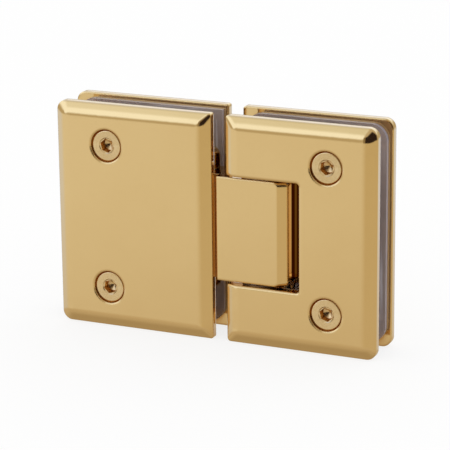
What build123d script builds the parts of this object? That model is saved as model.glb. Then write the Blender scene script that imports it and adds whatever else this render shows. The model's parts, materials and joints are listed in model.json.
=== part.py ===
from build123d import *
import math
import os

# Glass door hinge, 180 degrees, glass to glass.
#
# The fixed leaf (-X) clamps the standing pane and carries the hinge block.
# The door leaf (+X) clamps the swinging pane and turns on a vertical pin that
# runs through the block.  Front is -Y, up is +Z, and the origin is the middle
# of the hinge.  Each leaf is a pair of bevelled plates drawn together on the
# glass by two countersunk screws that enter posts on the back plate.

# ---------------------------------------------------------------- dimensions (mm)
# Leaves
plate_height = 90.0
fixed_plate_width = 66.0
door_plate_width = 61.5
leaf_gap = 6.0
edge_wall = 3.0
bevel_run = 3.8
bevel_rise = 2.2
outer_corner_radius = 4.0
fixed_inner_corner_radius = 1.0
door_inner_corner_radius = 1.4
bevel_blend_radius = 6.0
corner_at_face = 0.5
edge_softening = 0.35

# Glass and gaskets
glass_thickness = 10.0
gasket_thickness = 1.85
gasket_inset = 2.0
gasket_corner_radius = 6.5
gasket_hole_clearance = 0.3

# Clamping screws, their posts and the sleeves that keep them off the glass
screw_end_inset = 16.35
fixed_screw_inset = 22.0
door_sleeve_notch_gap = 3.95
screw_head_radius = 6.0
screw_head_rim = 0.9
screw_thread_radius = 3.0
screw_length = 14.0
screw_key_size = 5.0
screw_key_depth = 3.4
screw_key_lead = 0.35
screw_drill_radius = 2.4
screw_drill_depth = 1.1
head_recess = 0.7
head_ring_gap = 0.55
thread_clearance = 0.05
post_wall = 2.5
post_shortfall = 3.0
tap_spare_depth = 3.0
sleeve_wall = 1.4
sleeve_clearance = 0.15
sleeve_end_gap = 0.2

# Hinge block
block_height = 41.4
block_face_recess = 2.0
block_shoulder_gap = 1.9
block_neck_clearance = 0.05
nose_radius_to_pin = 13.7
nose_bevel_run = 3.4
nose_bevel_rise = 2.1
nose_end_radius = 1.6
base_end_inset = 16.1
base_sleeve_gap = 0.95
base_recess = 3.0
base_corner_radius = 4.0
pad_wall = 2.5

# Notch in the door plates
notch_nose_gap = 6.0
notch_end_clearance = 0.1
notch_corner_radius = 1.2
notch_edge_radius = 0.8

# Pivot pin, bushes and washers
pivot_inset = 11.0
pin_diameter = 10.0
running_clearance = 0.05
pin_end_recess = 0.2
bush_wall = 2.0
bush_length = 7.0
press_clearance = 0.02
washer_radius = 8.0
washer_thickness = 0.7
pin_bore_clearance = 0.7

# Lugs on the door's back plate that hold the pin
lug_side_wall = 1.0
lug_back_wall = 1.5
lug_face_gap = 0.25
lug_corner_radius = 1.5
pin_seat_clearance = 0.03
set_screw_radius = 2.5
set_screw_length = 5.6
set_screw_recess = 0.8
set_screw_key_size = 2.5
set_screw_key_depth = 2.5
pin_flat_depth = 0.4

# Spring-loaded detents
detent_bore_radius = 3.6
detent_bush_gap = 0.8
cam_lift = 0.6
cam_side_room = 0.8
follower_clearance = 0.08
follower_length = 14.0
follower_nose_chamfer = 0.8
follower_standoff = 0.05
adjuster_length = 8.0
adjuster_key_size = 3.0
adjuster_key_depth = 3.0
adjuster_recess = 0.5
spring_wire_width = 1.1
spring_wire_height = 1.3
spring_turns = 5
spring_side_clearance = 0.25
spring_end_gap = 0.05

# Bolts that hold the block to the fixed back plate
block_bolt_end_inset = 6.9
block_bolt_inset = 14.0
block_bolt_radius = 2.5
block_bolt_head_radius = 4.25
block_bolt_head_height = 5.0
block_bolt_key_size = 4.0
block_bolt_key_depth = 2.5
block_bolt_engagement = 3.8
bolt_hole_clearance = 0.2
bolt_head_recess = 0.1
bolt_tip_gap = 0.3

# How far a cutting shape runs past the face it leaves by, and how closely an edge is picked
cut_overrun = 1.0
pick_tolerance = 0.01

# ---------------------------------------------------------------- derived places
plate_thickness = edge_wall + bevel_rise
clamp_gap = glass_thickness + 2 * gasket_thickness
overall_width = fixed_plate_width + leaf_gap + door_plate_width
inner_face = clamp_gap / 2
outer_face = inner_face + plate_thickness
glass_face = glass_thickness / 2
blend_reach = bevel_blend_radius * math.tan(math.atan2(bevel_rise, bevel_run) / 2)
outer_corner = (outer_corner_radius, blend_reach + corner_at_face)
fixed_inner_corner = (fixed_inner_corner_radius, blend_reach + corner_at_face)
door_inner_corner = (door_inner_corner_radius, blend_reach + corner_at_face)

head_top_y = -outer_face + head_recess
screw_tip_y = head_top_y + screw_length
post_radius = screw_thread_radius + post_wall
post_end_y = inner_face - clamp_gap + post_shortfall
sleeve_inner_radius = post_radius + sleeve_clearance
sleeve_outer_radius = sleeve_inner_radius + sleeve_wall
sleeve_half_length = inner_face - sleeve_end_gap
tap_radius = screw_thread_radius + thread_clearance

fixed_outer_x = -overall_width / 2
fixed_inner_x = fixed_outer_x + fixed_plate_width
door_inner_x = fixed_inner_x + leaf_gap
door_outer_x = door_inner_x + door_plate_width
pin_radius = pin_diameter / 2
pivot_x = door_inner_x + pivot_inset
nose_x = pivot_x + nose_radius_to_pin
notch_x = nose_x + notch_nose_gap
fixed_screw_x = fixed_outer_x + fixed_screw_inset
door_screw_x = notch_x + door_sleeve_notch_gap + sleeve_outer_radius
screw_height = plate_height / 2 - screw_end_inset

block_half_height = block_height / 2
block_half_thickness = outer_face - block_face_recess
neck_half_thickness = inner_face - block_neck_clearance
neck_left_x = fixed_inner_x - gasket_inset + block_neck_clearance
shoulder_x = fixed_inner_x + block_shoulder_gap
base_right_x = fixed_inner_x - base_recess
base_left_x = fixed_screw_x + sleeve_outer_radius + base_sleeve_gap
base_half_height = plate_height / 2 - base_end_inset
block_bolt_x = fixed_inner_x - block_bolt_inset
block_bolt_height = base_half_height - block_bolt_end_inset
bolt_tap_radius = block_bolt_radius + thread_clearance
pad_radius = block_bolt_radius + pad_wall

bush_inner_radius = pin_radius + running_clearance
bush_outer_radius = bush_inner_radius + bush_wall
pin_bore_radius = pin_radius + pin_bore_clearance
notch_half_height = block_half_height + washer_thickness + notch_end_clearance
set_screw_start_x = pivot_x + pin_radius - pin_flat_depth
set_screw_end_x = set_screw_start_x + set_screw_length
lug_height = 2 * (set_screw_radius + lug_side_wall)
lug_outer_z = notch_half_height + lug_height
lug_middle_z = notch_half_height + lug_height / 2
lug_low_x = pivot_x - pin_radius - lug_back_wall
lug_high_x = set_screw_end_x + set_screw_recess
pin_half_length = lug_outer_z - pin_end_recess

detent_height = block_half_height - bush_length - detent_bush_gap - detent_bore_radius
cam_half_length = detent_bore_radius + cam_side_room
follower_face_x = pivot_x - pin_radius - follower_standoff
follower_back_x = follower_face_x - follower_length
adjuster_left_x = base_left_x + adjuster_recess
adjuster_right_x = adjuster_left_x + adjuster_length

ENDS = {"upper": 1, "lower": -1}

# Where each clamping screw's hexagon stands once the screw is tight (degrees)
screw_turns = {
    ("fixed", "upper"): 18.0,
    ("fixed", "lower"): 42.0,
    ("door", "upper"): 38.0,
    ("door", "lower"): 18.0,
}

os.makedirs("parts", exist_ok=True)


# ---------------------------------------------------------------- shared shapes
def face_plane(side, distance):
    """Plane parallel to the leaves; side is -1 towards the front, +1 towards the back."""
    return Plane(origin=(0, side * distance, 0), x_dir=(1, 0, 0), z_dir=(0, side, 0))


def at_depth(part, y):
    """Edges of a part that lie in the plane at this Y."""
    return part.edges().filter_by_position(Axis.Y, y - pick_tolerance, y + pick_tolerance)


def rounded_outline(plane, left_x, right_x, inset, left_radius, right_radius):
    """Outline of one leaf, drawn in from its edges by inset."""
    with BuildSketch(plane) as outline:
        with Locations(((left_x + right_x) / 2, 0)):
            Rectangle(right_x - left_x - 2 * inset, plate_height - 2 * inset)
        fillet(outline.vertices().group_by(Axis.X)[0], left_radius)
        fillet(outline.vertices().group_by(Axis.X)[-1], right_radius)
    return outline.sketch


def bevelled_plate(side, left_x, right_x, left_corner, right_corner):
    """Cover plate with a square edge and a bevel that rolls softly into the face.

    A corner is its radius at the rim and its radius where the bevel meets the face."""
    rim_distance = inner_face + edge_wall
    left_rim, left_face = left_corner
    right_rim, right_face = right_corner
    inner = rounded_outline(face_plane(side, inner_face), left_x, right_x, 0, left_rim, right_rim)
    rim = rounded_outline(face_plane(side, rim_distance), left_x, right_x, 0, left_rim, right_rim)
    face = rounded_outline(
        face_plane(side, outer_face), left_x, right_x, bevel_run, left_face, right_face
    )
    with BuildPart() as plate:
        extrude(to_extrude=inner, amount=edge_wall)
        loft(sections=[rim, face], ruled=True)
        fillet(at_depth(plate, side * outer_face), bevel_blend_radius)
        fillet(at_depth(plate, side * rim_distance), edge_softening)
        fillet(at_depth(plate, side * inner_face), edge_softening)
    return plate.part


def soften_holes(plate):
    """Rounds the mouths of the two screw holes in a front plate."""
    mouths = at_depth(plate, -outer_face).filter_by(
        lambda edge: edge.geom_type == GeomType.CIRCLE and edge.is_closed
    )
    fillet(mouths, edge_softening)


def round_bar(x, z, radius, low_y, high_y):
    """Cylinder along Y, used for posts, holes and counterbores."""
    with BuildPart() as bar:
        with BuildSketch(Plane(origin=(x, low_y, z), x_dir=(1, 0, 0), z_dir=(0, 1, 0))):
            Circle(radius)
        extrude(amount=high_y - low_y)
    return bar.part


def cross_bar(z, radius, low_x, high_x):
    """Cylinder along X in the middle of the hinge's thickness."""
    with BuildPart() as bar:
        with BuildSketch(Plane(origin=(low_x, 0, z), x_dir=(0, 1, 0), z_dir=(1, 0, 0))):
            Circle(radius)
        extrude(amount=high_x - low_x)
    return bar.part


def key_socket(plane, across_flats, depth, turn=0.0):
    """Hexagon recess that runs from the plane along its normal."""
    with BuildPart() as socket:
        with BuildSketch(plane):
            RegularPolygon(radius=across_flats / 2, side_count=6, major_radius=False, rotation=turn)
        extrude(amount=depth)
    return socket.part


def turned_about_y(x, z, outline):
    """Solid turned about the Y direction from a half section of (radius, y) points."""
    half_plane = Plane(origin=(x, 0, z), x_dir=(1, 0, 0), z_dir=(0, 0, 1))
    with BuildPart() as turned:
        with BuildSketch(half_plane):
            with BuildLine():
                Polyline(*outline, close=True)
            make_face()
        revolve(axis=Axis((x, 0, z), (0, 1, 0)))
    return turned.part


def countersink(x, z):
    """Seat of a clamping screw in a front plate, with a narrow ring gap round its head."""
    seat_y = head_top_y + screw_head_rim
    rim_radius = screw_head_radius + head_ring_gap
    hole_radius = screw_thread_radius + bolt_hole_clearance
    return turned_about_y(
        x,
        z,
        [
            (0, head_top_y - cut_overrun),
            (rim_radius, head_top_y - cut_overrun),
            (rim_radius, seat_y - head_ring_gap),
            (hole_radius, seat_y + screw_head_radius - hole_radius),
            (hole_radius, -inner_face + cut_overrun),
            (0, -inner_face + cut_overrun),
        ],
    )


def tapped_hole(x, z):
    """Blind hole in a post, open towards the front and a little deeper than its screw."""
    return round_bar(x, z, tap_radius, post_end_y - cut_overrun, screw_tip_y + tap_spare_depth)


def notch_cut():
    """Opening through both door plates that leaves room for the hinge block."""
    with BuildPart() as notch:
        with BuildSketch(Plane.XZ.offset(-outer_face - cut_overrun)) as opening:
            with Locations(((door_inner_x - cut_overrun + notch_x) / 2, 0)):
                Rectangle(notch_x - door_inner_x + cut_overrun, 2 * notch_half_height)
            fillet(opening.vertices().group_by(Axis.X)[-1], notch_corner_radius)
        extrude(amount=2 * (outer_face + cut_overrun))
    return notch.part


def soften_notch(plate, y):
    """Rounds the edge of the notch in a plate's outer face."""
    notch_edges = at_depth(plate, y).filter_by(
        lambda edge: abs(edge.center().Z) < notch_half_height + pick_tolerance
        and edge.center().X < notch_x + pick_tolerance
    )
    fillet(notch_edges, notch_edge_radius)


# ---------------------------------------------------------------- fixed leaf
fixed_blank_front = bevelled_plate(-1, fixed_outer_x, fixed_inner_x, outer_corner, fixed_inner_corner)
fixed_blank_back = bevelled_plate(1, fixed_outer_x, fixed_inner_x, outer_corner, fixed_inner_corner)

# Front cover plate: two countersunk holes, plain inside face
with BuildPart() as fixed_front_plate:
    add(fixed_blank_front)
    for side in ENDS.values():
        add(countersink(fixed_screw_x, side * screw_height), mode=Mode.SUBTRACT)
    soften_holes(fixed_front_plate)
fixed_front_plate.part.label = "fixed_front_plate"
export_step(fixed_front_plate.part, "parts/fixed_front_plate.step")

# Back cover plate: a tapped post for each clamping screw and blind holes for the block's bolts
with BuildPart() as fixed_back_plate:
    add(fixed_blank_back)
    for side in ENDS.values():
        screw_z = side * screw_height
        bolt_z = side * block_bolt_height
        bolt_end_y = inner_face + block_bolt_engagement
        add(round_bar(fixed_screw_x, screw_z, post_radius, post_end_y, inner_face + edge_wall))
        add(tapped_hole(fixed_screw_x, screw_z), mode=Mode.SUBTRACT)
        add(
            round_bar(block_bolt_x, bolt_z, bolt_tap_radius, inner_face - cut_overrun, bolt_end_y),
            mode=Mode.SUBTRACT,
        )
fixed_back_plate.part.label = "fixed_back_plate"
export_step(fixed_back_plate.part, "parts/fixed_back_plate.step")

# Gaskets: clear sheets, die-cut with one square corner beside the leaf gap
for name, low_y, high_y, pad_holes in (
    ("fixed_front_gasket", -inner_face, -glass_face, False),
    ("fixed_back_gasket", glass_face, inner_face, True),
):
    with BuildPart() as fixed_gasket:
        with BuildSketch(Plane.XZ.offset(-low_y)) as sheet:
            with Locations(((fixed_outer_x + fixed_inner_x) / 2, 0)):
                Rectangle(fixed_plate_width - 2 * gasket_inset, plate_height - 2 * gasket_inset)
            square_corner = sheet.vertices().sort_by(Axis.X)[-2:].sort_by(Axis.Y)[-1]
            round_corners = sheet.vertices().filter_by(lambda corner: corner != square_corner)
            fillet(round_corners, gasket_corner_radius)
            with Locations((fixed_screw_x, screw_height), (fixed_screw_x, -screw_height)):
                Circle(sleeve_outer_radius + gasket_hole_clearance, mode=Mode.SUBTRACT)
            if pad_holes:
                with Locations((block_bolt_x, block_bolt_height), (block_bolt_x, -block_bolt_height)):
                    Circle(pad_radius + gasket_hole_clearance, mode=Mode.SUBTRACT)
        extrude(amount=low_y - high_y)
    fixed_gasket.part.label = name
    export_step(fixed_gasket.part, f"parts/{name}.step")

# ---------------------------------------------------------------- hinge block
# One forging: knuckle with a bevelled nose, neck that just fits between the plates, and a
# base that fills the cut-out in the fixed pane.  Pads reach through the back gasket to the plate.
with BuildPart() as hinge_block:
    with BuildSketch(Plane.XY.offset(-block_half_height)):
        with BuildLine():
            Polyline(
                (shoulder_x, -block_half_thickness),
                (nose_x - nose_bevel_run, -block_half_thickness),
                (nose_x, -block_half_thickness + nose_bevel_rise),
                (nose_x, block_half_thickness - nose_bevel_rise),
                (nose_x - nose_bevel_run, block_half_thickness),
                (shoulder_x, block_half_thickness),
                close=True,
            )
        make_face()
    extrude(amount=block_height)
    crease_x = nose_x - nose_bevel_run
    nose_edges = hinge_block.edges().filter_by_position(
        Axis.X, crease_x + pick_tolerance, nose_x + pick_tolerance
    )
    fillet(nose_edges.group_by(Axis.Z)[0] + nose_edges.group_by(Axis.Z)[-1], nose_end_radius)
    tip_edges = hinge_block.edges().filter_by(Axis.Z).filter_by_position(
        Axis.X, nose_x - pick_tolerance, nose_x + pick_tolerance
    )
    fillet(tip_edges, edge_softening)
    for side in (-1, 1):
        face_edges = at_depth(hinge_block, side * block_half_thickness)
        fillet(face_edges.sort_by(Axis.X)[:-1], edge_softening)
    with BuildSketch(Plane.XZ.offset(-glass_face)) as base_outline:
        with Locations(((base_left_x + base_right_x) / 2, 0)):
            Rectangle(base_right_x - base_left_x, 2 * base_half_height)
        fillet(base_outline.vertices(), base_corner_radius)
        with Locations(((base_right_x - base_corner_radius + shoulder_x) / 2, 0)):
            Rectangle(shoulder_x - base_right_x + base_corner_radius, block_height)
    extrude(amount=glass_thickness)
    with Locations(((neck_left_x + shoulder_x) / 2, 0, 0)):
        Box(shoulder_x - neck_left_x, 2 * neck_half_thickness, block_height)
    for side in ENDS.values():
        bolt_z = side * block_bolt_height
        detent_z = side * detent_height
        add(round_bar(block_bolt_x, bolt_z, pad_radius, 0, inner_face))
        add(
            round_bar(
                block_bolt_x, bolt_z, block_bolt_radius + bolt_hole_clearance, -outer_face, outer_face
            ),
            mode=Mode.SUBTRACT,
        )
        add(
            round_bar(
                block_bolt_x,
                bolt_z,
                block_bolt_head_radius + bolt_hole_clearance,
                -outer_face,
                -glass_face + bolt_head_recess + block_bolt_head_height,
            ),
            mode=Mode.SUBTRACT,
        )
        add(
            cross_bar(detent_z, detent_bore_radius, base_left_x - cut_overrun, pivot_x),
            mode=Mode.SUBTRACT,
        )
    with Locations((pivot_x, 0, 0)):
        Cylinder(pin_bore_radius, block_height, mode=Mode.SUBTRACT)
    with Locations(
        (pivot_x, 0, block_half_height - bush_length / 2),
        (pivot_x, 0, -block_half_height + bush_length / 2),
    ):
        Cylinder(bush_outer_radius + press_clearance, bush_length, mode=Mode.SUBTRACT)
hinge_block.part.label = "hinge_block"
export_step(hinge_block.part, "parts/hinge_block.step")

# Bushes, thrust washers and the bolts of the block, above and below
for end, side in ENDS.items():
    bush_plane = Plane.XY.offset(side * (block_half_height - bush_length / 2))
    with BuildPart() as bush:
        with BuildSketch(bush_plane):
            with Locations((pivot_x, 0)):
                Circle(bush_outer_radius)
                Circle(bush_inner_radius, mode=Mode.SUBTRACT)
        extrude(amount=bush_length / 2, both=True)
    bush.part.label = f"{end}_bush"
    export_step(bush.part, f"parts/{end}_bush.step")

    with BuildPart() as thrust_washer:
        with BuildSketch(Plane.XY.offset(side * (block_half_height + washer_thickness / 2))):
            with Locations((pivot_x, 0)):
                Circle(washer_radius)
                Circle(bush_inner_radius, mode=Mode.SUBTRACT)
        extrude(amount=washer_thickness / 2, both=True)
    thrust_washer.part.label = f"{end}_thrust_washer"
    export_step(thrust_washer.part, f"parts/{end}_thrust_washer.step")

    bolt_z = side * block_bolt_height
    bolt_top_y = -glass_face + bolt_head_recess
    bolt_seat_y = bolt_top_y + block_bolt_head_height
    bolt_tip_y = inner_face + block_bolt_engagement - bolt_tip_gap
    bolt_socket_plane = Plane(origin=(block_bolt_x, bolt_top_y, bolt_z), x_dir=(1, 0, 0), z_dir=(0, 1, 0))
    with BuildPart() as block_bolt:
        add(round_bar(block_bolt_x, bolt_z, block_bolt_head_radius, bolt_top_y, bolt_seat_y))
        add(round_bar(block_bolt_x, bolt_z, block_bolt_radius, bolt_seat_y, bolt_tip_y))
        add(key_socket(bolt_socket_plane, block_bolt_key_size, block_bolt_key_depth), mode=Mode.SUBTRACT)
    block_bolt.part.label = f"block_{end}_bolt"
    export_step(block_bolt.part, f"parts/block_{end}_bolt.step")

# ---------------------------------------------------------------- detents
# In each bore a spring pushes a follower towards the flats of the pin.
for end, side in ENDS.items():
    detent_z = side * detent_height
    with BuildPart() as follower:
        add(cross_bar(detent_z, detent_bore_radius - follower_clearance, follower_back_x, follower_face_x))
        chamfer(follower.edges().group_by(Axis.X)[-1], follower_nose_chamfer)
    follower.part.label = f"{end}_follower"
    export_step(follower.part, f"parts/{end}_follower.step")

    adjuster_plane = Plane(origin=(adjuster_left_x, 0, detent_z), x_dir=(0, 1, 0), z_dir=(1, 0, 0))
    with BuildPart() as adjuster:
        add(cross_bar(detent_z, detent_bore_radius - thread_clearance, adjuster_left_x, adjuster_right_x))
        chamfer(adjuster.edges().filter_by(GeomType.CIRCLE), edge_softening)
        add(key_socket(adjuster_plane, adjuster_key_size, adjuster_key_depth), mode=Mode.SUBTRACT)
    adjuster.part.label = f"{end}_adjuster"
    export_step(adjuster.part, f"parts/{end}_adjuster.step")

    coil_radius = detent_bore_radius - spring_side_clearance - spring_wire_width / 2
    coil_start_x = adjuster_right_x + spring_end_gap + spring_wire_height / 2
    coil_end_x = follower_back_x - spring_end_gap - spring_wire_height / 2
    coil_height = coil_end_x - coil_start_x
    with BuildPart() as spring:
        with BuildLine() as coil:
            Helix(
                pitch=coil_height / spring_turns,
                height=coil_height,
                radius=coil_radius,
                center=(coil_start_x, 0, detent_z),
                direction=(1, 0, 0),
            )
        coil_axis_point = Vector(coil_start_x, 0, detent_z)
        radial = (coil.line @ 0 - coil_axis_point).normalized()
        with BuildSketch(Plane(origin=coil.line @ 0, x_dir=radial, z_dir=coil.line % 0)):
            Rectangle(spring_wire_width, spring_wire_height)
        sweep(is_frenet=True)
    spring.part.label = f"{end}_spring"
    export_step(spring.part, f"parts/{end}_spring.step")

# ---------------------------------------------------------------- door leaf
door_blank_front = bevelled_plate(-1, door_inner_x, door_outer_x, door_inner_corner, outer_corner)
door_blank_back = bevelled_plate(1, door_inner_x, door_outer_x, door_inner_corner, outer_corner)

with BuildPart() as door_front_plate:
    add(door_blank_front)
    add(notch_cut(), mode=Mode.SUBTRACT)
    for side in ENDS.values():
        add(countersink(door_screw_x, side * screw_height), mode=Mode.SUBTRACT)
    soften_holes(door_front_plate)
    soften_notch(door_front_plate, -outer_face)
door_front_plate.part.label = "door_front_plate"
export_step(door_front_plate.part, "parts/door_front_plate.step")

# Back plate with its posts, and a lug above and below the notch that holds the pin
with BuildPart() as door_back_plate:
    add(door_blank_back)
    add(notch_cut(), mode=Mode.SUBTRACT)
    soften_notch(door_back_plate, outer_face)
    for side in ENDS.values():
        screw_z = side * screw_height
        lug_z = side * lug_middle_z
        add(round_bar(door_screw_x, screw_z, post_radius, post_end_y, inner_face + edge_wall))
        add(tapped_hole(door_screw_x, screw_z), mode=Mode.SUBTRACT)
        with BuildSketch(Plane.XY.offset(lug_z)) as lug_plan:
            with Locations(((lug_low_x + lug_high_x) / 2, (lug_face_gap + edge_wall) / 2)):
                Rectangle(lug_high_x - lug_low_x, clamp_gap - lug_face_gap + edge_wall)
            fillet(lug_plan.vertices().group_by(Axis.Y)[0], lug_corner_radius)
        extrude(amount=lug_height / 2, both=True)
        with Locations((pivot_x, 0, lug_z)):
            Cylinder(pin_radius + pin_seat_clearance, lug_height, mode=Mode.SUBTRACT)
        add(
            cross_bar(lug_z, set_screw_radius + thread_clearance, pivot_x, lug_high_x + cut_overrun),
            mode=Mode.SUBTRACT,
        )
door_back_plate.part.label = "door_back_plate"
export_step(door_back_plate.part, "parts/door_back_plate.step")

# Gaskets: die-cut round the notch and the lugs
for name, low_y, high_y in (
    ("door_front_gasket", -inner_face, -glass_face),
    ("door_back_gasket", glass_face, inner_face),
):
    with BuildPart() as door_gasket:
        with BuildSketch(Plane.XZ.offset(-low_y)) as sheet:
            with Locations(((door_inner_x + door_outer_x) / 2, 0)):
                Rectangle(door_plate_width - 2 * gasket_inset, plate_height - 2 * gasket_inset)
            fillet(sheet.vertices(), gasket_corner_radius)
            with Locations(((door_inner_x + notch_x + gasket_inset) / 2, 0)):
                Rectangle(
                    notch_x + gasket_inset - door_inner_x,
                    2 * (notch_half_height + gasket_inset),
                    mode=Mode.SUBTRACT,
                )
            with Locations(((door_inner_x + lug_high_x + gasket_hole_clearance) / 2, 0)):
                Rectangle(
                    lug_high_x + gasket_hole_clearance - door_inner_x,
                    2 * (lug_outer_z + gasket_hole_clearance),
                    mode=Mode.SUBTRACT,
                )
            with Locations((door_screw_x, screw_height), (door_screw_x, -screw_height)):
                Circle(sleeve_outer_radius + gasket_hole_clearance, mode=Mode.SUBTRACT)
        extrude(amount=low_y - high_y)
    door_gasket.part.label = name
    export_step(door_gasket.part, f"parts/{name}.step")

# ---------------------------------------------------------------- pivot pin
# Ground bar with four shallow flats at each detent and a flat for each set screw
with BuildPart() as pivot_pin:
    with BuildSketch(Plane.XY):
        with Locations((pivot_x, 0)):
            Circle(pin_radius)
    extrude(amount=pin_half_length, both=True)
    chamfer(pivot_pin.edges().filter_by(GeomType.CIRCLE), edge_softening)
    for side in ENDS.values():
        with BuildSketch(Plane.XY.offset(side * detent_height)):
            with Locations((pivot_x, 0)):
                Circle(pin_radius + cut_overrun)
                Rectangle(2 * (pin_radius - cam_lift), 2 * (pin_radius - cam_lift), mode=Mode.SUBTRACT)
        extrude(amount=cam_half_length, both=True, mode=Mode.SUBTRACT)
        flat_x = pivot_x + pin_radius - pin_flat_depth
        flat_length = lug_height - 2 * pin_end_recess
        with Locations((flat_x + pin_flat_depth / 2, 0, side * lug_middle_z)):
            Box(pin_flat_depth, pin_diameter, flat_length, mode=Mode.SUBTRACT)
pivot_pin.part.label = "pivot_pin"
export_step(pivot_pin.part, "parts/pivot_pin.step")

for end, side in ENDS.items():
    screw_z = side * lug_middle_z
    set_screw_plane = Plane(origin=(set_screw_end_x, 0, screw_z), x_dir=(0, 1, 0), z_dir=(-1, 0, 0))
    with BuildPart() as set_screw:
        add(cross_bar(screw_z, set_screw_radius, set_screw_start_x, set_screw_end_x))
        chamfer(set_screw.edges().filter_by(GeomType.CIRCLE), edge_softening)
        add(key_socket(set_screw_plane, set_screw_key_size, set_screw_key_depth), mode=Mode.SUBTRACT)
    set_screw.part.label = f"pin_{end}_set_screw"
    export_step(set_screw.part, f"parts/pin_{end}_set_screw.step")

# ---------------------------------------------------------------- clamping screws and sleeves
for leaf, screw_x in (("fixed", fixed_screw_x), ("door", door_screw_x)):
    for end, side in ENDS.items():
        screw_z = side * screw_height
        seat_y = head_top_y + screw_head_rim
        shank_y = seat_y + screw_head_radius - screw_thread_radius
        screw_outline = [
            (0, head_top_y),
            (screw_head_radius, head_top_y),
            (screw_head_radius, seat_y),
            (screw_thread_radius, shank_y),
            (screw_thread_radius, screw_tip_y - edge_softening),
            (screw_thread_radius - edge_softening, screw_tip_y),
            (0, screw_tip_y),
        ]
        # The key's hole: a cone leads into the hexagon, and a drilled cone ends it
        key_corner = screw_key_size / math.sqrt(3)
        socket_outline = [
            (0, head_top_y),
            (key_corner + screw_key_lead, head_top_y),
            (key_corner, head_top_y + screw_key_lead),
            (screw_drill_radius, head_top_y + screw_key_lead),
            (screw_drill_radius, head_top_y + screw_key_depth),
            (0, head_top_y + screw_key_depth + screw_drill_depth),
        ]
        socket_plane = Plane(origin=(screw_x, head_top_y, screw_z), x_dir=(1, 0, 0), z_dir=(0, 1, 0))
        key_turn = screw_turns[leaf, end]
        with BuildPart() as clamp_screw:
            add(turned_about_y(screw_x, screw_z, screw_outline))
            fillet(at_depth(clamp_screw, head_top_y), edge_softening)
            add(key_socket(socket_plane, screw_key_size, screw_key_depth, key_turn), mode=Mode.SUBTRACT)
            add(turned_about_y(screw_x, screw_z, socket_outline), mode=Mode.SUBTRACT)
        clamp_screw.part.label = f"{leaf}_{end}_screw"
        export_step(clamp_screw.part, f"parts/{leaf}_{end}_screw.step")

        with BuildPart() as sleeve:
            add(round_bar(screw_x, screw_z, sleeve_outer_radius, -sleeve_half_length, sleeve_half_length))
            add(
                round_bar(screw_x, screw_z, sleeve_inner_radius, -sleeve_half_length, sleeve_half_length),
                mode=Mode.SUBTRACT,
            )
        sleeve.part.label = f"{leaf}_{end}_sleeve"
        export_step(sleeve.part, f"parts/{leaf}_{end}_sleeve.step")
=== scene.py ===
"""Glass door hinge in polished gold: finishes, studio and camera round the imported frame."""
import bpy
import json
import math
from mathutils import Matrix, Vector


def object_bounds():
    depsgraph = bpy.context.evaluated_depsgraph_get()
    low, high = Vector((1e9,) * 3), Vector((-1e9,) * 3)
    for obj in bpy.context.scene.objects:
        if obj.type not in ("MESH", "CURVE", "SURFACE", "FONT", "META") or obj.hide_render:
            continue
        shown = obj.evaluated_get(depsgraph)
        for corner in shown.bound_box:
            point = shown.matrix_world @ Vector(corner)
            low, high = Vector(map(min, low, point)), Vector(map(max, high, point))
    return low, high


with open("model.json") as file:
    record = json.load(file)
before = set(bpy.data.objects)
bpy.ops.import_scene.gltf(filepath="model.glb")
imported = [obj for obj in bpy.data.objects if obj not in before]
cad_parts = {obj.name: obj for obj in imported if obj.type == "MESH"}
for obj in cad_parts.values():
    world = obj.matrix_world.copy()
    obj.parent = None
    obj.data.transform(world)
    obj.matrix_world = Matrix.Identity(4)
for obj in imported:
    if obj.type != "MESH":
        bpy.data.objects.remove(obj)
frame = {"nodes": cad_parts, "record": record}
cad_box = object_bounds()
nodes = frame["nodes"]

# ---------------------------------------------------------------- camera and floor (metres, degrees)
CAMERA_DISTANCE = 0.85
CAMERA_AZIMUTH = 24.44
CAMERA_ELEVATION = 16.03
CAMERA_ROLL = -0.58
CAMERA_AIM = (0.0041, -0.0085, 0.0013)
CAMERA_LENS = 177.4
SENSOR_WIDTH = 36.0
CLIP_START, CLIP_END = 0.05, 20.0
FLOOR_RADIUS = 3.0
FLOOR_STEP = 10
FLOOR_GLOW = 0.8  # share of plain white in what the camera sees of the floor

# ---------------------------------------------------------------- finishes (metres, and features per metre)
SHADING_SAMPLES = 8
NOISE_SPAN = (0.3, 0.7)  # the values that noise mostly takes

EDGE_WEAR = 0.0012
# Painted shade in gaps: the gold darkens to brown where ambient occlusion finds nearby walls.
RECESS_SHADE_REACH = 0.012
RECESS_SHADE_OPENNESS = (0.15, 0.72)  # ambient occlusion, from full painted shade (brown) to clean gold
LOWER_RIM = (0.005, 0.009)  # heights over the floor between which the lower rim ends
DOWNWARD = (-0.20, -0.02)  # Z of a normal, from facing down to upright
GOLD_WAVES = 35.0
GOLD_WAVE_HEIGHT = 0.00006
GOLD_GRAIN = 420.0
GOLD_GRAIN_SPAN = (0.35, 0.75)
GOLD_ROUGHNESS = (0.055, 0.10)

# Painted reflection on the block's end inside the notch: orange sides, dark bands and a brown middle line.
END_FACING = (0.90, 0.97)  # X of a normal, from a rounded corner to the block's flat end
END_BROWN_HALF = (0.0004, 0.0016)  # distances from the block's middle plane
END_DARK_HALF = (0.0038, 0.0050)

SCREW_PATCHES = 9.0  # across one head
SCREW_ROUGHNESS = (0.16, 0.26)
RING_RATE = 260.0
RING_HEIGHT = 0.000004
# Painted shade deep in a screw's socket, from ambient occlusion.
SOCKET_REACH = 0.003
SOCKET_OPENNESS = (0.25, 0.85)
SOCKET_RADIUS = (0.30, 0.40)  # as a share of the head's width
SOCKET_ROUGHNESS = 0.42

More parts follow.
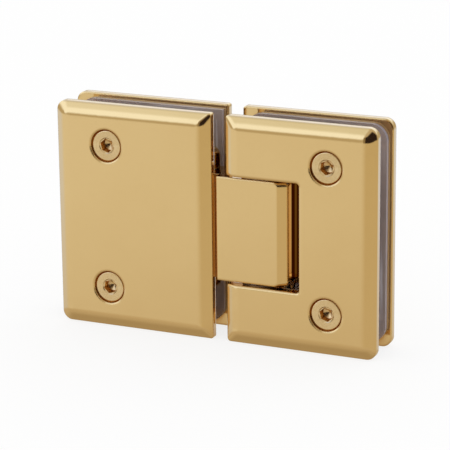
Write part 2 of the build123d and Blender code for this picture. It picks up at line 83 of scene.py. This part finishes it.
VINYL_CLOUDS = 120.0
VINYL_CLOUD_HEIGHT = 0.00003
VINYL_ROUGHNESS = (0.08, 0.2)
VINYL_IOR = 1.48
SHEET_FACING = (0.5, 0.8)  # size of a normal's Y, from a cut edge to the sheet's face
EDGE_ALPHA = 0.75
SHEET_ALPHA = 0.38
CREASE_ALPHA = 0.14
CREASE_SCALE = 520.0
CREASE_STRETCH = 0.05
CREASE_SPAN = (0.53, 0.72)
MITRE = 0.01  # half-width of the change at a corner, as a share of the gasket's size

GRAIN_SHADE = 0.85
DULL, GROUND, DRAWN, TURNED = (0.35, 0.5), (0.22, 0.38), (0.3, 0.42), (0.28, 0.42)  # roughness
MOULDED_GRAIN, GROUND_GRAIN, DRAWN_GRAIN = 900.0, 1500.0, 1200.0
MOULDED_DEPTH, METAL_DEPTH = 0.00002, 0.00001

# ---------------------------------------------------------------- colours (linear)
WHITE = (1.0, 1.0, 1.0)
GOLD = (0.84, 0.60, 0.28)
GOLD_DEEP = (0.80, 0.56, 0.25)
SCREW_GOLD = (0.84, 0.65, 0.38)
# painted shade deep in gaps on the plates
RECESS_SHADE_GOLD = (0.42, 0.19, 0.035)
# painted shade deep in a screw's socket
SOCKET_SHADE_GOLD = (0.52, 0.22, 0.04)
# painted reflection on the block's end inside the notch
END_REFLECTION_ORANGE = (0.90, 0.50, 0.10)
END_DIMMED_SHEEN = (0.45, 0.45, 0.45)
END_REFLECTION_DARK = (0.06, 0.012, 0.001)
END_REFLECTION_BROWN = (0.20, 0.07, 0.012)
VINYL = (0.76, 0.62, 0.57)
VINYL_PALE = (0.90, 0.77, 0.74)
VINYL_EDGE = (0.50, 0.46, 0.52)
VINYL_CREASE = (1.0, 0.95, 1.0)
NYLON = (0.80, 0.80, 0.77)
STEEL = (0.60, 0.60, 0.61)
DARK_STEEL = (0.05, 0.05, 0.055)
SPRING_STEEL = (0.42, 0.42, 0.44)
BRONZE = (0.62, 0.42, 0.22)
FLOOR_WHITE = (0.97, 0.97, 0.97)

# What the metal mirrors
ROOM_BRIGHT = (1.13, 1.31, 1.70)
ROOM_UPPER = (0.74, 0.78, 0.78)
ROOM_ZENITH = (0.74, 0.86, 1.30)
DIM_SIDE = (0.60, 0.56, 0.50)
HORIZON = (0.56, 0.52, 0.43)
TABLE_LIT = (0.82, 0.83, 0.83)
TABLE_SHADE = (0.64, 0.58, 0.44)
TABLE_FAR = (0.75, 0.85, 1.15)
TABLE_NEAR = (0.64, 0.59, 0.51)
TABLE_FOOT = (0.46, 0.40, 0.31)
FLAG_BROWN = (0.30, 0.25, 0.18)
FLAG_BLACK = (0.03, 0.02, 0.02)

# ---------------------------------------------------------------- where the studio's parts stand (degrees)
# Azimuth 0 is straight out of the hinge's front and +90 is its door end.
LEFT_WALL_AZIMUTH = (-62.0, -40.0)
ROOM_TOP = (30.0, 48.0)
DIM_AZIMUTH, DIM_SOFT = (-4.0, 100.0), 16.0

TABLE_SHADE_AZIMUTH = (-30.0, 8.0)
TABLE_FAR_LEFT = (-95.0, -60.0)
TABLE_FAR_RIGHT = (100.0, 160.0)
TABLE_NEAR_ELEVATION = (-23.0, -14.0)
TABLE_FOOT_ELEVATION = (-62.0, -23.0)
TABLE_EDGE = (-9.0, -4.0)

HORIZON_LEFT, HORIZON_LEFT_HEIGHT = (-58.0, -46.0), (10.0, -2.0)
HORIZON_RISE, HORIZON_RISE_HEIGHT = (-34.0, -12.0), (0.0, 20.0)
HORIZON_FOOT = (-12.0, -5.0)
HORIZON_TOP = (-6.0, 8.0)

BROWN_AZIMUTH, BROWN_ELEVATION, BROWN_SOFT = (-10.0, 62.0), (-9.0, 26.0), (6.0, 4.0)
BLACK_AZIMUTH, BLACK_ELEVATION, BLACK_SOFT = (2.0, 54.0), (-9.0, 28.0), (3.0, 3.0)


# ---------------------------------------------------------------- node helpers
class Graph:
    """A material's or world's node tree with short calls for the nodes used here."""

    def __init__(self, tree):
        self.tree = tree
        self.tree.nodes.clear()

    def add(self, kind, **settings):
        node = self.tree.nodes.new(kind)
        for key, value in settings.items():
            setattr(node, key, value)
        return node

    def link(self, source, target):
        self.tree.links.new(source, target)

    def feed(self, value, target):
        """Links a socket, or sets a plain number or colour."""
        if isinstance(value, bpy.types.NodeSocket):
            self.link(value, target)
        else:
            target.default_value = value

    def math(self, operation, first, second=0.0):
        node = self.add("ShaderNodeMath", operation=operation)
        self.feed(first, node.inputs[0])
        self.feed(second, node.inputs[1])
        return node.outputs[0]

    def ramp(self, value, low, high, start=0.0, end=1.0, smooth=True):
        """start where value is low, end where it is high, and eased between them."""
        node = self.add("ShaderNodeMapRange", interpolation_type="SMOOTHSTEP" if smooth else "LINEAR")
        self.feed(value, node.inputs["Value"])
        node.inputs["From Min"].default_value = low
        node.inputs["From Max"].default_value = high
        node.inputs["To Min"].default_value = start
        node.inputs["To Max"].default_value = end
        return node.outputs["Result"]

    def window(self, value, low, high, soft):
        """1 where value is between low and high, falling to 0 over soft on each side."""
        rise = self.ramp(value, low - soft, low)
        fall = self.ramp(value, high, high + soft, 1.0, 0.0)
        return self.math("MULTIPLY", rise, fall)

    def mix(self, share, first, second):
        """Colour from first, at share 0, to second, at share 1."""
        node = self.add("ShaderNodeMix", data_type="RGBA")
        self.feed(share, node.inputs["Factor"])
        self.feed(first, node.inputs[6])
        self.feed(second, node.inputs[7])
        return node.outputs[2]

    def place(self, coordinate):
        return self.add("ShaderNodeTexCoord").outputs[coordinate]

    def split(self, coordinate):
        """X, Y and Z of a Texture Coordinate output."""
        node = self.add("ShaderNodeSeparateXYZ")
        self.link(self.place(coordinate), node.inputs[0])
        return node.outputs

    def join(self, x, y, z):
        node = self.add("ShaderNodeCombineXYZ")
        for value, socket in zip((x, y, z), node.inputs):
            self.feed(value, socket)
        return node.outputs[0]

    def noise(self, scale, detail=2.0, vector=None):
        node = self.add("ShaderNodeTexNoise")
        node.inputs["Scale"].default_value = scale
        node.inputs["Detail"].default_value = detail
        if vector is None:
            vector = self.place("Object")
        self.link(vector, node.inputs["Vector"])
        return node.outputs["Fac"]

    def bump(self, height, distance, normal=None):
        node = self.add("ShaderNodeBump")
        node.inputs["Distance"].default_value = distance
        self.link(height, node.inputs["Height"])
        if normal is not None:
            self.link(normal, node.inputs["Normal"])
        return node.outputs["Normal"]

    def worn_edges(self, radius):
        """Normal that turns smoothly over an edge, as polishing leaves it."""
        node = self.add("ShaderNodeBevel", samples=SHADING_SAMPLES)
        node.inputs["Radius"].default_value = radius
        return node.outputs["Normal"]

    def openness(self, reach):
        """1 on an open face, falling towards 0 deep in a gap."""
        node = self.add("ShaderNodeAmbientOcclusion", samples=SHADING_SAMPLES)
        node.inputs["Distance"].default_value = reach
        return node.outputs["AO"]


def rgba(colour):
    return (*colour, 1.0)


def new_material(name):
    """An empty material with a Principled shader, ready for its sockets."""
    material = bpy.data.materials.new(name)
    material.use_nodes = True
    graph = Graph(material.node_tree)
    shader = graph.shader = graph.add("ShaderNodeBsdfPrincipled")
    output = graph.add("ShaderNodeOutputMaterial")
    graph.link(shader.outputs["BSDF"], output.inputs["Surface"])
    return material, graph, shader


# ---------------------------------------------------------------- materials
def painted_recess_shade(graph, tone):
    """Painted shade: the plate's gold turns brown deep in a gap, standing in for the shade and the dim
    mirrored walls there.

    The floor doesn't count as a gap for the lower bevel."""
    rim_start, rim_end = (cad_box[0].z + height for height in LOWER_RIM)
    lowest = graph.ramp(graph.split("Object")["Z"], rim_start, rim_end, 1.0, 0.0)
    downward = graph.ramp(graph.split("Normal")["Z"], *DOWNWARD, 1.0, 0.0)
    # painted shade: darker where ambient occlusion finds nearby walls
    open_face = graph.ramp(graph.openness(RECESS_SHADE_REACH), *RECESS_SHADE_OPENNESS)
    open_face = graph.math("MAXIMUM", open_face, graph.math("MULTIPLY", lowest, downward))
    return graph.mix(open_face, rgba(RECESS_SHADE_GOLD), tone)


def painted_end_reflection(graph, tone):
    """Painted reflection: the block's end, inside the notch, is orange at its sides and dark round a brown
    middle line, standing in for the mirrored notch walls.
    """
    depth = graph.math("ABSOLUTE", graph.split("Object")["Y"])
    middle = graph.mix(graph.ramp(depth, *END_BROWN_HALF), rgba(END_REFLECTION_BROWN), rgba(END_REFLECTION_DARK))
    end = graph.ramp(graph.split("Normal")["X"], *END_FACING)
    dark = graph.math("MULTIPLY", end, graph.ramp(depth, *END_DARK_HALF, 1.0, 0.0))
    # The painted dark band also takes a grey specular tint, which dims its grazing reflection.
    graph.link(graph.mix(dark, rgba(WHITE), rgba(END_DIMMED_SHEEN)), graph.shader.inputs["Specular Tint"])
    return graph.mix(dark, graph.mix(end, tone, rgba(END_REFLECTION_ORANGE)), middle)


def polished_gold(name, tint):
    """Mirror-polished steel with a gold coating: faint waviness and slight changes of gloss."""
    material, graph, shader = new_material(name)
    waves = graph.noise(GOLD_WAVES)
    grain = graph.noise(GOLD_GRAIN, detail=3.0)
    tone = graph.mix(waves, rgba(GOLD_DEEP), rgba(GOLD))
    normal = graph.bump(waves, GOLD_WAVE_HEIGHT, normal=graph.worn_edges(EDGE_WEAR))
    # tint paints light into the colour: shade in gaps, or the reflection on the block's end
    graph.link(tint(graph, tone), shader.inputs["Base Color"])
    graph.link(graph.ramp(grain, *GOLD_GRAIN_SPAN, *GOLD_ROUGHNESS), shader.inputs["Roughness"])
    graph.link(normal, shader.inputs["Normal"])
    shader.inputs["Metallic"].default_value = 1.0
    return material


def turned_gold():
    """Screw heads: faced in a lathe, so the finish lies in fine rings, with painted shade, brown, deep
    inside the socket.
    """
    material, graph, shader = new_material("turned gold")
    place = graph.split("Generated")
    across = graph.math("SUBTRACT", place["X"], 0.5)
    up = graph.math("SUBTRACT", place["Z"], 0.5)
    squares = graph.math("ADD", graph.math("MULTIPLY", across, across), graph.math("MULTIPLY", up, up))
    radius = graph.math("SQRT", squares)
    rings = graph.math("SINE", graph.math("MULTIPLY", radius, RING_RATE))
    patches = graph.noise(SCREW_PATCHES, vector=graph.place("Generated"))
    head = graph.mix(patches, rgba(SCREW_GOLD), rgba(GOLD))

    # painted shade: brown where the socket is central and occluded
    central = graph.ramp(radius, *SOCKET_RADIUS, 1.0, 0.0)
    deep = graph.ramp(graph.openness(SOCKET_REACH), *SOCKET_OPENNESS, 1.0, 0.0)
    socket = graph.math("MULTIPLY", central, deep)
    roughness = graph.ramp(patches, *NOISE_SPAN, *SCREW_ROUGHNESS)
    roughness = graph.math("MAXIMUM", roughness, graph.math("MULTIPLY", socket, SOCKET_ROUGHNESS))

    graph.link(graph.mix(socket, head, rgba(SOCKET_SHADE_GOLD)), shader.inputs["Base Color"])
    graph.link(roughness, shader.inputs["Roughness"])
    graph.link(graph.bump(rings, RING_HEIGHT), shader.inputs["Normal"])
    shader.inputs["Metallic"].default_value = 1.0
    return material


def gasket_creases(graph):
    """Long soft creases that run along a gasket's nearest edge."""
    place, share = graph.split("Object"), graph.split("Generated")
    upright = graph.join(place["X"], 0.0, graph.math("MULTIPLY", place["Z"], CREASE_STRETCH))
    level = graph.join(graph.math("MULTIPLY", place["X"], CREASE_STRETCH), 0.0, place["Z"])
    sideways = graph.math("ABSOLUTE", graph.math("SUBTRACT", share["X"], 0.5))
    upwards = graph.math("ABSOLUTE", graph.math("SUBTRACT", share["Z"], 0.5))
    near_top = graph.ramp(graph.math("SUBTRACT", upwards, sideways), -MITRE, MITRE)
    side_folds = graph.noise(CREASE_SCALE, vector=upright)
    top_folds = graph.noise(CREASE_SCALE, vector=level)
    return graph.ramp(graph.mix(near_top, side_folds, top_folds), *CREASE_SPAN)


def clear_gasket():
    """Clear soft vinyl: the sheet lets through what lies behind, and its cut edges look milky."""
    material, graph, shader = new_material("clear vinyl")
    clouds = graph.noise(VINYL_CLOUDS, detail=3.0)
    creases = gasket_creases(graph)
    flat = graph.ramp(graph.math("ABSOLUTE", graph.split("Normal")["Y"]), *SHEET_FACING)
    sheet = graph.mix(clouds, rgba(VINYL), rgba(VINYL_PALE))
    sheet = graph.mix(creases, sheet, rgba(VINYL_CREASE))
    haze = graph.ramp(flat, 0.0, 1.0, EDGE_ALPHA, SHEET_ALPHA, smooth=False)
    haze = graph.math("ADD", haze, graph.math("MULTIPLY", creases, CREASE_ALPHA))

    graph.link(graph.mix(flat, rgba(VINYL_EDGE), sheet), shader.inputs["Base Color"])
    graph.link(graph.ramp(clouds, *NOISE_SPAN, *VINYL_ROUGHNESS), shader.inputs["Roughness"])
    graph.link(graph.bump(clouds, VINYL_CLOUD_HEIGHT), shader.inputs["Normal"])
    graph.link(haze, shader.inputs["Alpha"])
    shader.inputs["IOR"].default_value = VINYL_IOR
    return material


def plain_finish(name, colour, metallic, roughness, grain, depth):
    """An inner piece's finish: a fine grain in tone, gloss and relief."""
    material, graph, shader = new_material(name)
    grains = graph.noise(grain, detail=4.0)
    darker = tuple(part * GRAIN_SHADE for part in colour)
    graph.link(graph.mix(grains, rgba(darker), rgba(colour)), shader.inputs["Base Color"])
    graph.link(graph.ramp(grains, *NOISE_SPAN, *roughness), shader.inputs["Roughness"])
    graph.link(graph.bump(grains, depth), shader.inputs["Normal"])
    shader.inputs["Metallic"].default_value = metallic
    return material


# The plates' gold carries painted shade in its gaps.
FINISHES = {
    "polished_gold": polished_gold("polished gold", painted_recess_shade),
    "gold_screw": turned_gold(),
    "clear_gasket": clear_gasket(),
    "white_nylon": plain_finish("nylon", NYLON, 0.0, DULL, MOULDED_GRAIN, MOULDED_DEPTH),
    "steel": plain_finish("ground steel", STEEL, 1.0, GROUND, GROUND_GRAIN, METAL_DEPTH),
    "dark_steel": plain_finish("black steel", DARK_STEEL, 1.0, DULL, GROUND_GRAIN, METAL_DEPTH),
    "spring_steel": plain_finish("spring steel", SPRING_STEEL, 1.0, DRAWN, DRAWN_GRAIN, METAL_DEPTH),
    "bronze": plain_finish("bronze", BRONZE, 1.0, TURNED, DRAWN_GRAIN, METAL_DEPTH),
}
# The block's gold carries a painted reflection on its end inside the notch.
BLOCK_FINISH = polished_gold("block gold", painted_end_reflection)

for row in frame["record"]["subparts"]:
    piece = nodes[row["node"]]
    finish = BLOCK_FINISH if row["node"] == "hinge_block" else FINISHES[row["material_slot"]]
    piece.data.materials.clear()
    piece.data.materials.append(finish)


# ---------------------------------------------------------------- camera and floor
def direction(azimuth, elevation):
    """Unit vector; azimuth 0 points out of the front, and positive turns towards +X."""
    a, e = math.radians(azimuth), math.radians(elevation)
    return Vector((math.sin(a) * math.cos(e), -math.cos(a) * math.cos(e), math.sin(e)))


def make_camera():
    data = bpy.data.cameras.new("camera")
    data.lens = CAMERA_LENS
    data.sensor_width = SENSOR_WIDTH
    data.clip_start, data.clip_end = CLIP_START, CLIP_END
    camera = bpy.data.objects.new("camera", data)
    bpy.context.scene.collection.objects.link(camera)
    back = direction(CAMERA_AZIMUTH, CAMERA_ELEVATION)
    roll = Matrix.Rotation(math.radians(CAMERA_ROLL), 3, "Z")
    turn = (-back).to_track_quat("-Z", "Y").to_matrix() @ roll
    camera.matrix_world = Matrix.Translation(Vector(CAMERA_AIM) + back * CAMERA_DISTANCE) @ turn.to_4x4()
    bpy.context.scene.camera = camera


def floor_material():
    """White floor. The camera sees it near white, with what is left of the shadow."""
    material = bpy.data.materials.new("floor")
    material.use_nodes = True
    graph = Graph(material.node_tree)
    diffuse = graph.add("ShaderNodeBsdfDiffuse")
    diffuse.inputs["Color"].default_value = rgba(FLOOR_WHITE)
    white = graph.add("ShaderNodeEmission")
    white.inputs["Strength"].default_value = 1.0
    seen = graph.add("ShaderNodeLightPath").outputs["Is Camera Ray"]
    mixed = graph.add("ShaderNodeMixShader")
    graph.link(graph.math("MULTIPLY", seen, FLOOR_GLOW), mixed.inputs[0])
    graph.link(diffuse.outputs[0], mixed.inputs[1])
    graph.link(white.outputs[0], mixed.inputs[2])
    output = graph.add("ShaderNodeOutputMaterial")
    graph.link(mixed.outputs[0], output.inputs["Surface"])
    return material


def make_floor():
    """Round floor under the hinge. Glossy surfaces don't mirror it: the studio has a table instead."""
    centre = Vector((0, 0, cad_box[0].z))
    ring = [centre + direction(angle, 0) * FLOOR_RADIUS for angle in range(0, 360, FLOOR_STEP)]
    mesh = bpy.data.meshes.new("floor")
    mesh.from_pydata(ring, [], [list(range(len(ring)))])
    mesh.materials.append(floor_material())
    floor = bpy.data.objects.new("floor", mesh)
    bpy.context.scene.collection.objects.link(floor)
    floor.visible_glossy = False


# ---------------------------------------------------------------- studio
def room_colour(graph, azimuth, elevation):
    """Bright walls, a ceiling that is bluer on the left, and a dim side."""
    left = graph.ramp(azimuth, *LEFT_WALL_AZIMUTH, 1.0, 0.0)
    upper = graph.mix(left, rgba(ROOM_UPPER), rgba(ROOM_ZENITH))
    room = graph.mix(graph.ramp(elevation, *ROOM_TOP), rgba(ROOM_BRIGHT), upper)
    return graph.mix(graph.window(azimuth, *DIM_AZIMUTH, DIM_SOFT), room, rgba(DIM_SIDE))


def table_colour(graph, azimuth, elevation):
    """Lit on the left, in shade towards the right, pale far behind and darker near the hinge's foot."""
    table = graph.mix(
        graph.ramp(azimuth, *TABLE_SHADE_AZIMUTH, smooth=False), rgba(TABLE_LIT), rgba(TABLE_SHADE)
    )
    table = graph.mix(graph.ramp(azimuth, *TABLE_FAR_LEFT, 1.0, 0.0), table, rgba(TABLE_FAR))
    table = graph.mix(graph.ramp(azimuth, *TABLE_FAR_RIGHT), table, rgba(TABLE_FAR))
    foot = graph.mix(
        graph.ramp(elevation, *TABLE_FOOT_ELEVATION, 1.0, 0.0), rgba(TABLE_NEAR), rgba(TABLE_FOOT)
    )
    return graph.mix(graph.ramp(elevation, *TABLE_NEAR_ELEVATION, 1.0, 0.0), table, foot)


def horizon_band(graph, azimuth, elevation):
    """1 in the dull band over the table's edge. Its top dips on the left and rises towards the front."""
    top = graph.math(
        "ADD",
        graph.ramp(azimuth, *HORIZON_LEFT, *HORIZON_LEFT_HEIGHT),
        graph.ramp(azimuth, *HORIZON_RISE, *HORIZON_RISE_HEIGHT, smooth=False),
    )
    below = graph.ramp(graph.math("SUBTRACT", elevation, top), *HORIZON_TOP, 1.0, 0.0)
    return graph.math("MULTIPLY", graph.ramp(elevation, *HORIZON_FOOT), below)


def card(graph, azimuth, elevation, across, upright, soft):
    """1 on an upright card, with its soft edges outside the two spans."""
    return graph.math(
        "MULTIPLY", graph.window(azimuth, *across, soft[0]), graph.window(elevation, *upright, soft[1])
    )


def studio_colour(graph):
    """What polished metal mirrors: a bright room with a dim side, a table, and a brown-rimmed black flag."""
    x, y, z = graph.split("Generated")
    degrees = 180 / math.pi
    azimuth = graph.math("MULTIPLY", graph.math("ARCTAN2", x, graph.math("MULTIPLY", y, -1.0)), degrees)
    elevation = graph.math("MULTIPLY", graph.math("ARCSINE", z), degrees)

    room = room_colour(graph, azimuth, elevation)
    table = table_colour(graph, azimuth, elevation)
    studio = graph.mix(graph.ramp(elevation, *TABLE_EDGE, 1.0, 0.0), room, table)
    studio = graph.mix(horizon_band(graph, azimuth, elevation), studio, rgba(HORIZON))
    brown = card(graph, azimuth, elevation, BROWN_AZIMUTH, BROWN_ELEVATION, BROWN_SOFT)
    studio = graph.mix(brown, studio, rgba(FLAG_BROWN))
    black = card(graph, azimuth, elevation, BLACK_AZIMUTH, BLACK_ELEVATION, BLACK_SOFT)
    return graph.mix(black, studio, rgba(FLAG_BLACK))


def make_world():
    """Plain white background and light. Glossy surfaces mirror the studio round it."""
    world = bpy.data.worlds.new("studio")
    bpy.context.scene.world = world
    world.use_nodes = True
    graph = Graph(world.node_tree)
    path = graph.add("ShaderNodeLightPath")
    background = graph.add("ShaderNodeBackground")
    mirrored = graph.mix(path.outputs["Is Glossy Ray"], rgba(WHITE), studio_colour(graph))
    graph.link(mirrored, background.inputs["Color"])
    output = graph.add("ShaderNodeOutputWorld")
    graph.link(background.outputs[0], output.inputs["Surface"])


make_camera()
make_floor()
make_world()
bpy.context.scene.view_settings.view_transform = "Standard"
